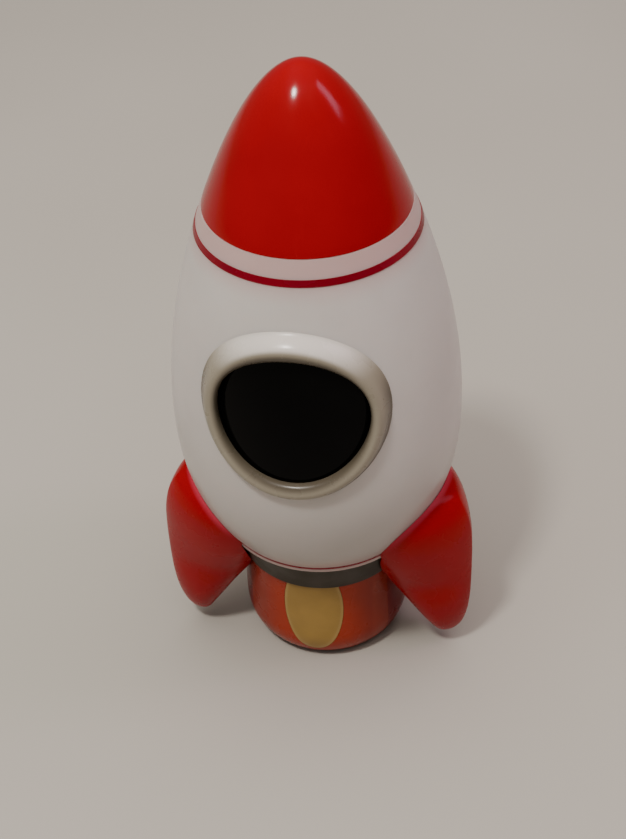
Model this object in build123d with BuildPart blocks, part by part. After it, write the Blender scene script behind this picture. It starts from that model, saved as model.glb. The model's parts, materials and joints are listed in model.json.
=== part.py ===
"""A battery night light shaped like a toy rocket.

Millimetres, +Z up. The origin is on the rocket's axis in the plane of its foot.
The porthole faces -Y. Azimuths are measured about +Z from -Y towards +X, so the
porthole is at azimuth 0 and the right-hand fin is on the +X side.
"""

import os
from math import cos, hypot, radians, sin

from build123d import *

os.makedirs("parts", exist_ok=True)

# ---------------------------------------------------------------- stack of the outer shape
BASE_HEIGHT = 31.2  # foot plane to the top of the flame base
COLLAR_HEIGHT = 11.8
BODY_HEIGHT = 100.6
NOSE_HEIGHT = 36.4

BODY_BOTTOM = BASE_HEIGHT + COLLAR_HEIGHT
BODY_TOP = BODY_BOTTOM + BODY_HEIGHT

# ---------------------------------------------------------------- body
BODY_WALL = 2.0
MOUTH_RADIUS = 27.6
BELLY_RADIUS = 38.4
NECK_RADIUS = 25.7
BELLY_RISE = 39.5  # body bottom to its widest ring
LOWER_FULLNESS = 2.5
UPPER_FULLNESS = 1.87
PROFILE_POINTS = 9
NOSE_PROFILE_POINTS = 13
SEAT_GAP = 0.1  # between pieces that only rest against each other
MOUTH_LIP_HEIGHT = 2.0

# ---------------------------------------------------------------- nose
NOSE_WALL = 2.0
NOSE_ROUNDNESS = 1.084
NOSE_TIP_WALL = 3.0
SKIRT_DEPTH = 6.0
SKIRT_WALL = 1.6

# ---------------------------------------------------------------- thin painted-look rings
NECK_TRIM_DROP = 6.2  # lower edge of the ring below the nose
NECK_TRIM_HEIGHT = 1.7
MOUTH_TRIM_RISE = 0.7
MOUTH_TRIM_HEIGHT = 0.9
TRIM_DEPTH = 0.8
TRIM_PROUD = 0.12

# ---------------------------------------------------------------- porthole
PORTHOLE_RISE = 60.4  # body bottom to the porthole's centre
WINDOW_RADIUS = 18.4
BEZEL_RADIUS = 23.2
BEZEL_PROUD = 2.8
BEZEL_OUTER_ROUNDING = 2.2
BEZEL_INNER_ROUNDING = 0.9
LIP_DEPTH = 0.4
LENS_THICKNESS = 1.8
RETAINER_THICKNESS = 1.2
RETAINER_BAND = 3.4
SKIRT_RING_WALL = 0.9
LENS_LAP = 1.5  # how far the lens reaches behind the lip
CUT_REACH = 1.0  # how far a cutter runs past what it cuts
PORTHOLE_FIT = 0.15

# ---------------------------------------------------------------- fins
FIN_AZIMUTHS = {"right_fin": 75.0, "left_fin": -75.0, "rear_fin": 180.0}
FIN_TIP_HEIGHT = 4.5
FIN_TOP_HEIGHT = 61.0
FIN_REACH = 44.9
FIN_HALF_WIDTH = 17.0
FIN_WALL = 2.2
FIN_BOSS_RADIUS = 2.5
FIN_BOSS_RISES = (6.0, 12.8)  # above the body bottom
FIN_BOSS_DEPTH = 2.0  # past the inside of the body wall
FIN_BOSS_ROOT = 4.0
# share of the fin's height, inner edge, outer edge (both in from the reach), share of half width
FIN_STATIONS = (
    (0.000, 8.4, 6.0, 0.06),
    (0.025, 10.4, 4.0, 0.18),
    (0.085, 12.4, 2.2, 0.30),
    (0.178, 15.8, 0.9, 0.42),
    (0.297, 20.4, 0.2, 0.53),
    (0.432, 26.4, 0.0, 0.63),
    (0.534, 29.0, 0.0, 0.75),
    (0.640, 31.0, 0.1, 0.88),
    (0.750, 31.0, 0.5, 0.97),
    (0.840, 30.0, 1.5, 1.00),
    (0.900, 28.0, 2.8, 0.95),
    (0.950, 25.0, 4.5, 0.81),
    (0.982, 20.0, 6.8, 0.55),
    (1.000, 14.8, 9.8, 0.18),
)
# one side of a fin's plan: share of its depth from the inner edge, share of its half width
FIN_PLAN = ((0.10, 0.72), (0.35, 1.00), (0.65, 0.80), (0.90, 0.42))

# ---------------------------------------------------------------- collar and flame base
COLLAR_TOP_RADIUS = 27.4
COLLAR_BOTTOM_RADIUS = 24.0
BOWL_TOP_RADIUS = 23.3
BOWL_BELLY_RADIUS = 23.8
BOWL_BELLY_HEIGHT = 10.0
BOWL_BOTTOM_RADIUS = 20.4
BOWL_BOTTOM = 0.8
BOWL_WALL = 2.1
BOWL_FULLNESS = 2.4
DECK_THICKNESS = 2.0
SPIGOT_RADIUS = 22.5
SPIGOT_WALL = 2.1
SPIGOT_BEAD = 0.8
SPIGOT_BEAD_HEIGHT = 1.6
SPIGOT_END = 1.0  # above the bead
PANEL_HALF_ANGLE = 57.0
PANEL_DEPTH = 0.6
PANEL_TOP_GAP = 0.1
PANEL_BOTTOM_GAP = 0.7
INLAY_GAP = 0.05
INLAY_TURN = 0.1  # degrees left free at each side of a panel
PETAL_HALF_WIDTH = 8.4
PETAL_HALF_HEIGHT = 17.5
PETAL_CENTRE_HEIGHT = 22.0

# ---------------------------------------------------------------- base plate, door and switch
PLATE_RADIUS = 19.4
PLATE_BOTTOM = 1.6
PLATE_TOP = 5.6
RIM_WIDTH = 1.6
DOOR_THICKNESS = 1.7
DOOR_RECESS = 1.9
DOOR_OVERLAP = 1.25  # how far the door laps over the battery opening
DOOR_FIT = 0.2
DOOR_SCREW_RADIUS_OUT = 14.8
DOOR_EAR_RADIUS = 2.6
DOOR_BOSS_RADIUS = 2.0
DOOR_BOSS_HEIGHT = 2.0

SWITCH_LENGTH = 8.4
SWITCH_WIDTH = 3.6
SWITCH_HEIGHT = 3.4
SWITCH_OUT = 15.7  # axis of the rocket to the switch
SWITCH_TRAVEL = 3.0
KNOB_LENGTH = 2.4
KNOB_WIDTH = 1.4
KNOB_BOTTOM = 0.6
KNOB_HEAD_LENGTH = 3.0
KNOB_HEAD_WIDTH = 1.8
KNOB_HEAD_HEIGHT = 1.2
SLIDE_FIT = 0.2

# ---------------------------------------------------------------- cells and battery box
CELL_RADIUS = 5.25
CELL_LENGTH = 44.5
CELL_NUB_RADIUS = 1.9
CELL_NUB_HEIGHT = 1.2
CELL_CIRCLE = 7.0
CELL_FIT = 0.15
CELL_EDGE = 0.4
CELL_AZIMUTHS = (0.0, 120.0, 240.0)
BOX_WALL = 1.0
BOX_BOTTOM = 7.8
BOX_CEILING = 2.0
BOX_FLANGE_RADIUS = 19.6
BOX_FLANGE_THICKNESS = 1.8
SPRING_ROOM = 3.4
SPRING_RADIUS = 2.6
SPRING_WIRE = 0.25
SPRING_TURNS = 3
CONTACT_THICKNESS = 0.4
CONTACT_RADIUS = 3.6
CONTACT_STRIP_WIDTH = 2.2

# ---------------------------------------------------------------- board and lamps
BOARD_RADIUS = 11.5
BOARD_THICKNESS = 1.4
BOARD_STAND_OFF = 2.0
BOARD_POST_RADIUS = 1.8
BOARD_POST_CIRCLE = 8.8
LED_RADIUS = 2.5
LED_FLANGE_RADIUS = 2.9
LED_FLANGE_HEIGHT = 1.0
LED_BARREL_HEIGHT = 6.0
LED_CIRCLE = 4.2
CHIP_SIZE = (4.0, 3.0, 1.4)
RESISTOR_RADIUS = 0.9
RESISTOR_LENGTH = 3.6
RESISTOR_OUT = 8.6
RESISTOR_AZIMUTHS = (90.0, 270.0)
LED_DOME_SHARE = 0.96
LEAD_RADIUS = 0.55
LEAD_SPACING = 1.3
LEAD_BEND = 2.0
LEAD_HOLE_RADIUS = 2.4
LEAD_HOLE_OUT = 16.2

# ---------------------------------------------------------------- fasteners
THREAD_FIT = 0.05
PLATE_SCREW = {"shank": 1.0, "head": 1.5, "head_height": 1.1, "length": 12.0}
BOX_SCREW = {"shank": 1.0, "head": 1.7, "head_height": 1.2, "length": 6.0}
BOARD_SCREW = {"shank": 0.75, "head": 1.4, "head_height": 1.0, "length": 4.4}
DOOR_SCREW = {"shank": 1.0, "head": 1.7, "head_height": 0.9, "length": 5.0}
FIN_SCREW = {"shank": 1.1, "head": 3.3, "head_height": 1.4, "length": 9.0}
SLOT_DEPTH = 0.5
SLOT_WIDTH = 0.5
PLATE_SCREW_CIRCLE = 15.95
PLATE_SCREW_AZIMUTHS = (90.0, 210.0, 330.0)
BOX_SCREW_CIRCLE = 17.0
BOX_SCREW_AZIMUTHS = (30.0, 150.0, 270.0)
POST_RADIUS = 2.3
BOX_POST_HEIGHT = 6.0
DOOR_SCREW_AZIMUTH = 180.0
BOARD_POST_AZIMUTHS = (60.0, 180.0, 300.0)
LED_AZIMUTHS = (0.0, 120.0, 240.0)


# ---------------------------------------------------------------- derived places
def spot(azimuth, distance):
    """The (x, y) of a point at an azimuth and a distance from the axis."""
    return (distance * sin(radians(azimuth)), -distance * cos(radians(azimuth)))


def spots(azimuths, distance):
    return [spot(azimuth, distance) for azimuth in azimuths]


BELLY_HEIGHT = BODY_BOTTOM + BELLY_RISE
PORTHOLE_HEIGHT = BODY_BOTTOM + PORTHOLE_RISE
LENS_INSET = LIP_DEPTH + SEAT_GAP
RETAINER_INSET = LENS_INSET + LENS_THICKNESS + SEAT_GAP
BEZEL_HOLD_RADIUS = WINDOW_RADIUS + LENS_LAP
BEZEL_SKIRT_RADIUS = BEZEL_HOLD_RADIUS + SKIRT_RING_WALL
BEZEL_SKIRT_INSET = RETAINER_INSET + RETAINER_THICKNESS
LENS_RADIUS = BEZEL_HOLD_RADIUS - PORTHOLE_FIT

CELL_OPENING_RADIUS = CELL_CIRCLE + CELL_RADIUS + 2 * CELL_FIT
BOX_RADIUS = CELL_CIRCLE + CELL_RADIUS + CELL_FIT + BOX_WALL
DOOR_RADIUS = CELL_OPENING_RADIUS + DOOR_OVERLAP
RECESS_TOP = PLATE_BOTTOM + DOOR_RECESS
DOOR_BOTTOM = RECESS_TOP - DOOR_THICKNESS - SEAT_GAP
DOOR_TOP = DOOR_BOTTOM + DOOR_THICKNESS
CELL_BOTTOM = DOOR_TOP + CONTACT_THICKNESS + SEAT_GAP
CELL_TOP = CELL_BOTTOM + CELL_LENGTH
BOX_CEILING_BOTTOM = CELL_TOP + SPRING_ROOM
BOX_TOP = BOX_CEILING_BOTTOM + BOX_CEILING
BOARD_BOTTOM = BOX_TOP + BOARD_STAND_OFF
BOARD_TOP = BOARD_BOTTOM + BOARD_THICKNESS
DECK_BOTTOM = BASE_HEIGHT - DECK_THICKNESS
LIP_INNER_RADIUS = SPIGOT_RADIUS + SEAT_GAP
SPIGOT_BEAD_BOTTOM = BODY_BOTTOM + MOUTH_LIP_HEIGHT + SEAT_GAP
SPIGOT_TOP = SPIGOT_BEAD_BOTTOM + SPIGOT_BEAD_HEIGHT + SPIGOT_END
BOX_FLANGE_BOTTOM = BASE_HEIGHT + SEAT_GAP
BOX_FLANGE_TOP = BOX_FLANGE_BOTTOM + BOX_FLANGE_THICKNESS
SWITCH_X_OFF = -SWITCH_TRAVEL / 2


def body_radius(height):
    """Outer radius of the body at a height: two smooth curves that meet at the belly."""
    if height < BELLY_HEIGHT:
        share = (BELLY_HEIGHT - height) / BELLY_RISE
        return BELLY_RADIUS - (BELLY_RADIUS - MOUTH_RADIUS) * share**LOWER_FULLNESS
    share = (height - BELLY_HEIGHT) / (BODY_TOP - BELLY_HEIGHT)
    return BELLY_RADIUS - (BELLY_RADIUS - NECK_RADIUS) * share**UPPER_FULLNESS


def bowl_radius(height):
    """Outer radius of the flame base at a height."""
    if height < BOWL_BELLY_HEIGHT:
        share = (BOWL_BELLY_HEIGHT - height) / (BOWL_BELLY_HEIGHT - BOWL_BOTTOM)
        return BOWL_BELLY_RADIUS - (BOWL_BELLY_RADIUS - BOWL_BOTTOM_RADIUS) * share**BOWL_FULLNESS
    share = (height - BOWL_BELLY_HEIGHT) / (BASE_HEIGHT - BOWL_BELLY_HEIGHT)
    return BOWL_BELLY_RADIUS - (BOWL_BELLY_RADIUS - BOWL_TOP_RADIUS) * share


def nose_point(share, wall, tip_wall):
    """A point of the nose outline; share runs from 0 at the tip to 1 at the seat."""
    height = BODY_TOP + (NOSE_HEIGHT - tip_wall) * (1 - share**2)
    return ((NECK_RADIUS - wall) * share**NOSE_ROUNDNESS, height)


def steps(low, high, count=PROFILE_POINTS):
    return [low + (high - low) * index / (count - 1) for index in range(count)]


def band_section(radius_at, low, high, outer_inset, inner_inset):
    """The closed section, on the XZ plane, of a band of a round wall between two insets."""
    heights = steps(low, high)
    outer_points = [(radius_at(height) - outer_inset, height) for height in heights]
    inner_points = [(radius_at(height) - inner_inset, height) for height in heights]
    with BuildSketch(Plane.XZ) as section:
        with BuildLine():
            Spline(*outer_points)
            Line(outer_points[-1], inner_points[-1])
            Spline(*inner_points)
            Line(inner_points[0], outer_points[0])
        make_face()
    return section.sketch


def turned_band(radius_at, low, high, outer_inset, inner_inset):
    """A full ring of a round wall between two heights and two insets."""
    with BuildPart() as ring:
        add(band_section(radius_at, low, high, outer_inset, inner_inset))
        revolve(axis=Axis.Z)
    return ring.part


def porthole_piece(outer_inset, inner_inset, outer_radius, inner_radius=0.0):
    """A round or ring-shaped piece seen along Y that follows the curve of the body wall."""
    reach = BEZEL_RADIUS + 2 * CUT_REACH
    with BuildPart() as piece:
        low = PORTHOLE_HEIGHT - reach
        high = PORTHOLE_HEIGHT + reach
        add(band_section(body_radius, low, high, outer_inset, inner_inset))
        revolve(axis=Axis.Z)
        with BuildSketch(Plane.XZ):
            with Locations((0, PORTHOLE_HEIGHT)):
                Circle(outer_radius)
                if inner_radius:
                    Circle(inner_radius, mode=Mode.SUBTRACT)
        extrude(amount=BELLY_RADIUS + BEZEL_PROUD + CUT_REACH, mode=Mode.INTERSECT)
    return piece.part


def screw_on(plane, sizes):
    """A slotted round-head screw whose head seats on the plane and whose shank runs along -normal."""
    with BuildPart() as screw:
        with BuildSketch(plane):
            Circle(sizes["head"])
        extrude(amount=sizes["head_height"])
        with BuildSketch(plane):
            Circle(sizes["shank"])
        extrude(amount=-sizes["length"])
        with BuildSketch(plane.offset(sizes["head_height"])):
            Rectangle(2 * sizes["head"] + CUT_REACH, SLOT_WIDTH)
        extrude(amount=-SLOT_DEPTH, mode=Mode.SUBTRACT)
    return screw.part


def screw_group(planes, sizes):
    """Identical screws as separate solids in one node."""
    return Compound(children=[screw_on(plane, sizes) for plane in planes])


def facing_up(points, height):
    return [Plane(origin=(x, y, height)) for x, y in points]


def facing_down(points, height):
    return [Plane(origin=(x, y, height), z_dir=(0, 0, -1)) for x, y in points]


def finish(shape, name):
    """Labels a finished piece and writes it."""
    shape.label = name
    export_step(shape, f"parts/{name}.step")


# ================================================================ nose cap
with BuildPart() as nose_cap:
    nose_shares = steps(0.0, 1.0, NOSE_PROFILE_POINTS)
    outer_nose = [nose_point(share, 0.0, 0.0) for share in nose_shares]
    inner_nose = [nose_point(share, NOSE_WALL, NOSE_TIP_WALL) for share in nose_shares]
    with BuildSketch(Plane.XZ):
        with BuildLine():
            Spline(*outer_nose)
            Line(outer_nose[-1], inner_nose[-1])
            Spline(*inner_nose)
            Line(inner_nose[0], outer_nose[0])
        make_face()
    revolve(axis=Axis.Z)
    skirt_radius = NECK_RADIUS - BODY_WALL - SEAT_GAP
    with BuildSketch(Plane.XY.offset(BODY_TOP - SKIRT_DEPTH)):
        Circle(skirt_radius)
        Circle(skirt_radius - SKIRT_WALL, mode=Mode.SUBTRACT)
    extrude(amount=SKIRT_DEPTH + NOSE_WALL / 2)
finish(nose_cap.part, "nose_cap")

# ================================================================ body shell
fin_boss_heights = [BODY_BOTTOM + rise for rise in FIN_BOSS_RISES]
neck_trim_low = BODY_TOP - NECK_TRIM_DROP
mouth_trim_low = BODY_BOTTOM + MOUTH_TRIM_RISE


def boss_plane(azimuth, height, distance):
    """A plane across a fin boss, facing outwards from the axis."""
    x, y = spot(azimuth, distance)
    return Plane(origin=(x, y, height), x_dir=(0, 0, 1), z_dir=(x, y, 0))


neck_groove = turned_band(
    body_radius, neck_trim_low, neck_trim_low + NECK_TRIM_HEIGHT, -CUT_REACH, TRIM_DEPTH
)
mouth_groove = turned_band(
    body_radius, mouth_trim_low, mouth_trim_low + MOUTH_TRIM_HEIGHT, -CUT_REACH, TRIM_DEPTH
)

with BuildPart() as body_shell:
    add(band_section(body_radius, BODY_BOTTOM, BODY_TOP - SEAT_GAP, 0.0, BODY_WALL))
    revolve(axis=Axis.Z)
    with BuildSketch(Plane.XY.offset(BODY_BOTTOM)):
        Circle(MOUTH_RADIUS - BODY_WALL / 2)
        Circle(LIP_INNER_RADIUS, mode=Mode.SUBTRACT)
    extrude(amount=MOUTH_LIP_HEIGHT)
    add(neck_groove, mode=Mode.SUBTRACT)
    add(mouth_groove, mode=Mode.SUBTRACT)
    with BuildSketch(Plane.XZ):
        with Locations((0, PORTHOLE_HEIGHT)):
            Circle(BEZEL_SKIRT_RADIUS + PORTHOLE_FIT)
    extrude(amount=BELLY_RADIUS + CUT_REACH, mode=Mode.SUBTRACT)
    for azimuth in FIN_AZIMUTHS.values():
        for height in fin_boss_heights:
            with BuildSketch(boss_plane(azimuth, height, body_radius(height) - 2 * BODY_WALL)):
                Circle(FIN_BOSS_RADIUS + PORTHOLE_FIT)
            extrude(amount=4 * BODY_WALL, mode=Mode.SUBTRACT)
finish(body_shell.part, "body_shell")

neck_trim_ring = turned_band(
    body_radius,
    neck_trim_low + SEAT_GAP / 2,
    neck_trim_low + NECK_TRIM_HEIGHT - SEAT_GAP / 2,
    -TRIM_PROUD,
    TRIM_DEPTH - SEAT_GAP / 2,
)
finish(neck_trim_ring, "neck_trim_ring")

mouth_trim_ring = turned_band(
    body_radius,
    mouth_trim_low + SEAT_GAP / 2,
    mouth_trim_low + MOUTH_TRIM_HEIGHT - SEAT_GAP / 2,
    -TRIM_PROUD,
    TRIM_DEPTH - SEAT_GAP / 2,
)
finish(mouth_trim_ring, "mouth_trim_ring")

# ================================================================ porthole


def on_crest(edge):
    """Whether an edge of the rim runs along its proud face."""
    point = edge @ 0.5
    return hypot(point.X, point.Y) - body_radius(point.Z) > BEZEL_PROUD / 2


def crest_edges(rim):
    """The rim's crest edges, shortest first: the inner one, then the outer one."""
    return rim.edges().filter_by(GeomType.BSPLINE).filter_by(on_crest).sort_by(SortBy.LENGTH)


with BuildPart() as porthole_bezel:
    add(porthole_piece(-BEZEL_PROUD, -SEAT_GAP / 2, BEZEL_RADIUS, WINDOW_RADIUS))
    add(porthole_piece(-BEZEL_PROUD / 8, LIP_DEPTH, BEZEL_SKIRT_RADIUS, WINDOW_RADIUS))
    add(porthole_piece(LIP_DEPTH / 2, BEZEL_SKIRT_INSET, BEZEL_SKIRT_RADIUS, BEZEL_HOLD_RADIUS))
    fillet(crest_edges(porthole_bezel)[0], BEZEL_INNER_ROUNDING)
    fillet(crest_edges(porthole_bezel)[-1], BEZEL_OUTER_ROUNDING)
finish(porthole_bezel.part, "porthole_bezel")

porthole_lens = porthole_piece(LENS_INSET, LENS_INSET + LENS_THICKNESS, LENS_RADIUS)
finish(porthole_lens, "porthole_lens")

lens_retainer = porthole_piece(
    RETAINER_INSET,
    RETAINER_INSET + RETAINER_THICKNESS,
    LENS_RADIUS,
    LENS_RADIUS - RETAINER_BAND,
)
finish(lens_retainer, "lens_retainer")

# ================================================================ fins
FIN_HEIGHT = FIN_TOP_HEIGHT - FIN_TIP_HEIGHT


def fin_envelope(gap):
    """The round space of the body, collar and base that a fin stands clear of."""
    heights = steps(BODY_BOTTOM, BELLY_HEIGHT + BELLY_RISE / 2)
    surface = [(body_radius(height) + gap, height) for height in heights]
    with BuildPart() as envelope:
        with BuildSketch(Plane.XZ):
            with BuildLine():
                Spline(*surface)
                Polyline(
                    surface[-1],
                    (0, surface[-1][1]),
                    (0, -CUT_REACH),
                    (COLLAR_BOTTOM_RADIUS + gap, -CUT_REACH),
                    (COLLAR_BOTTOM_RADIUS + gap, BASE_HEIGHT),
                    surface[0],
                )
            make_face()
        revolve(axis=Axis.Z)
    return envelope.part


def fin_plan(near, far, half_width):
    """The points round a fin at one height, from its inner edge to its outer edge and back."""
    depth = far - near
    side = [(near + depth * along, half_width * across) for along, across in FIN_PLAN]
    other_side = [(x, -y) for x, y in reversed(side)]
    return [(near, 0), *side, (far, 0), *other_side]


def fin_block(azimuth, inset):
    """The fin's lofted form, drawn in on every side by the inset."""
    x_dir = (*spot(azimuth, 1.0), 0)
    sections = FIN_STATIONS if not inset else FIN_STATIONS[3:-3]
    with BuildPart() as block:
        for share, inner, outer, width in sections:
            height = FIN_TIP_HEIGHT + share * FIN_HEIGHT
            near = FIN_REACH - inner + inset
            far = FIN_REACH - outer - inset
            with BuildSketch(Plane(origin=(0, 0, height), x_dir=x_dir, z_dir=(0, 0, 1))):
                with BuildLine():
                    Spline(*fin_plan(near, far, FIN_HALF_WIDTH * width - inset), periodic=True)
                make_face()
        loft()
        add(fin_envelope(TRIM_PROUD + SEAT_GAP + inset), mode=Mode.SUBTRACT)
    return block.part


for fin_name, azimuth in FIN_AZIMUTHS.items():
    fin_outer = fin_block(azimuth, 0.0)
    fin_hollow = fin_block(azimuth, FIN_WALL)
    with BuildPart() as fin:
        add(fin_outer)
        add(fin_hollow, mode=Mode.SUBTRACT)
        for height in fin_boss_heights:
            boss_end = body_radius(height) - BODY_WALL - FIN_BOSS_DEPTH
            boss_length = BODY_WALL + FIN_BOSS_DEPTH + FIN_BOSS_ROOT
            with BuildSketch(boss_plane(azimuth, height, boss_end)):
                Circle(FIN_BOSS_RADIUS)
            extrude(amount=boss_length)
            with BuildSketch(boss_plane(azimuth, height, boss_end)):
                Circle(FIN_SCREW["shank"] + THREAD_FIT)
            extrude(amount=FIN_SCREW["length"] + SEAT_GAP, mode=Mode.SUBTRACT)
    finish(fin.part, fin_name)

fin_screw_planes = []
for azimuth in FIN_AZIMUTHS.values():
    for height in fin_boss_heights:
        head_seat = body_radius(height) - BODY_WALL - FIN_BOSS_DEPTH - SEAT_GAP
        x, y = spot(azimuth, head_seat)
        fin_screw_planes.append(Plane(origin=(x, y, height), x_dir=(0, 0, 1), z_dir=(-x, -y, 0)))
finish(screw_group(fin_screw_planes, FIN_SCREW), "fin_screws")

# ================================================================ collar
with BuildPart() as collar_ring:
    with BuildSketch(Plane.XZ):
        with BuildLine():
            Polyline(
                (LIP_INNER_RADIUS, BASE_HEIGHT + SEAT_GAP / 2),
                (COLLAR_BOTTOM_RADIUS, BASE_HEIGHT + SEAT_GAP / 2),
                (COLLAR_TOP_RADIUS, BODY_BOTTOM - SEAT_GAP / 2),
                (LIP_INNER_RADIUS, BODY_BOTTOM - SEAT_GAP / 2),
                close=True,
            )
        make_face()
    revolve(axis=Axis.Z)
finish(collar_ring.part, "collar_ring")

# ================================================================ flame base
PANEL_BOTTOM = BOWL_BOTTOM + PANEL_BOTTOM_GAP
PANEL_TOP = BASE_HEIGHT - PANEL_TOP_GAP


def wedge_cutter(half_angle):
    """A tall sector about azimuth 0 and its opposite, used to part the front and back panels."""
    far = 2 * BOWL_BELLY_RADIUS
    with BuildPart() as cutter:
        with BuildSketch():
            for azimuth in (0.0, 180.0):
                with BuildLine():
                    Polyline(
                        (0, 0),
                        spot(azimuth - half_angle, far),
                        spot(azimuth, far),
                        spot(azimuth + half_angle, far),
                        close=True,
                    )
                make_face()
        extrude(amount=BASE_HEIGHT)
    return cutter.part


def petal_cutter(grow):
    """An upright oval run right through the base along Y."""
    with BuildPart() as cutter:
        with BuildSketch(Plane.XZ):
            with Locations((0, PETAL_CENTRE_HEIGHT)):
                Ellipse(PETAL_HALF_WIDTH + grow, PETAL_HALF_HEIGHT + grow)
        extrude(amount=BOWL_BELLY_RADIUS + CUT_REACH, both=True)
    return cutter.part


def flame_band(outer_inset, inner_inset, half_angle):
    """The front and back panels of the base's skin between two insets."""
    with BuildPart() as band:
        add(turned_band(bowl_radius, PANEL_BOTTOM, PANEL_TOP, outer_inset, inner_inset))
        add(wedge_cutter(half_angle), mode=Mode.INTERSECT)
    return band.part


panel_room = flame_band(-CUT_REACH, PANEL_DEPTH, PANEL_HALF_ANGLE)

with BuildPart() as orange_flames:
    add(flame_band(0.0, PANEL_DEPTH - INLAY_GAP, PANEL_HALF_ANGLE - INLAY_TURN))
    add(petal_cutter(INLAY_GAP), mode=Mode.SUBTRACT)
finish(orange_flames.part, "orange_flames")

with BuildPart() as yellow_flames:
    add(turned_band(bowl_radius, PANEL_BOTTOM, PANEL_TOP, 0.0, PANEL_DEPTH - INLAY_GAP))
    add(petal_cutter(-INLAY_GAP), mode=Mode.INTERSECT)
finish(yellow_flames.part, "yellow_flames")

plate_post_planes = facing_up(spots(PLATE_SCREW_AZIMUTHS, PLATE_SCREW_CIRCLE), PLATE_TOP + SEAT_GAP)
box_screw_spots = spots(BOX_SCREW_AZIMUTHS, BOX_SCREW_CIRCLE)
lead_hole_spot = spot(0.0, LEAD_HOLE_OUT)

with BuildPart() as flame_base:
    bowl_heights = steps(BOWL_BOTTOM, BASE_HEIGHT)
    bowl_outline = [(bowl_radius(height), height) for height in bowl_heights]
    with BuildSketch(Plane.XZ):
        with BuildLine():
            Spline(*bowl_outline)
            Polyline(
                bowl_outline[-1],
                (SPIGOT_RADIUS, BASE_HEIGHT),
                (SPIGOT_RADIUS, SPIGOT_BEAD_BOTTOM),
                (SPIGOT_RADIUS + SPIGOT_BEAD, SPIGOT_BEAD_BOTTOM + SPIGOT_BEAD / 2),
                (SPIGOT_RADIUS, SPIGOT_BEAD_BOTTOM + SPIGOT_BEAD_HEIGHT),
                (SPIGOT_RADIUS, SPIGOT_TOP),
                (SPIGOT_RADIUS - SPIGOT_WALL, SPIGOT_TOP),
                (SPIGOT_RADIUS - SPIGOT_WALL, BASE_HEIGHT),
                (BOX_RADIUS + CELL_FIT, BASE_HEIGHT),
                (BOX_RADIUS + CELL_FIT, DECK_BOTTOM),
                (BOWL_TOP_RADIUS - BOWL_WALL, DECK_BOTTOM),
                (BOWL_BELLY_RADIUS - BOWL_WALL - PANEL_DEPTH, BOWL_BELLY_HEIGHT),
                (BOWL_BELLY_RADIUS - BOWL_WALL - PANEL_DEPTH, PLATE_TOP + SEAT_GAP),
                (PLATE_RADIUS + SEAT_GAP, PLATE_TOP + SEAT_GAP),
                (PLATE_RADIUS + SEAT_GAP, BOWL_BOTTOM),
                bowl_outline[0],
            )
        make_face()
    revolve(axis=Axis.Z)
    add(panel_room, mode=Mode.SUBTRACT)
    for plane in plate_post_planes:
        with BuildSketch(plane):
            Circle(POST_RADIUS)
            Circle(PLATE_SCREW["shank"] + THREAD_FIT, mode=Mode.SUBTRACT)
        extrude(until=Until.NEXT)
    with BuildSketch(Plane.XY.offset(DECK_BOTTOM - BOX_POST_HEIGHT + DECK_THICKNESS)):
        with Locations(*box_screw_spots):
            Circle(POST_RADIUS)
    extrude(until=Until.NEXT)
    with BuildSketch(Plane.XY.offset(BASE_HEIGHT)):
        with Locations(*box_screw_spots):
            Circle(BOX_SCREW["shank"] + THREAD_FIT)
    extrude(amount=-BOX_SCREW["length"], mode=Mode.SUBTRACT)
    with BuildSketch(Plane.XY.offset(BASE_HEIGHT)):
        with Locations(lead_hole_spot):
            Circle(LEAD_HOLE_RADIUS)
    extrude(amount=-DECK_THICKNESS, mode=Mode.SUBTRACT)
finish(flame_base.part, "flame_base")

# ================================================================ base plate
door_screw_spot = spot(DOOR_SCREW_AZIMUTH, DOOR_SCREW_RADIUS_OUT)
knob_slot_length = KNOB_LENGTH + SWITCH_TRAVEL + 2 * SLIDE_FIT
knob_slot_width = KNOB_WIDTH + 2 * SLIDE_FIT
switch_spot = spot(0.0, SWITCH_OUT)
plate_screw_spots = spots(PLATE_SCREW_AZIMUTHS, PLATE_SCREW_CIRCLE)


def door_outline(grow):
    """The door's plan: a disc with an ear for its screw."""
    Circle(DOOR_RADIUS + grow)
    with Locations(door_screw_spot):
        Circle(DOOR_EAR_RADIUS + grow)


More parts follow.
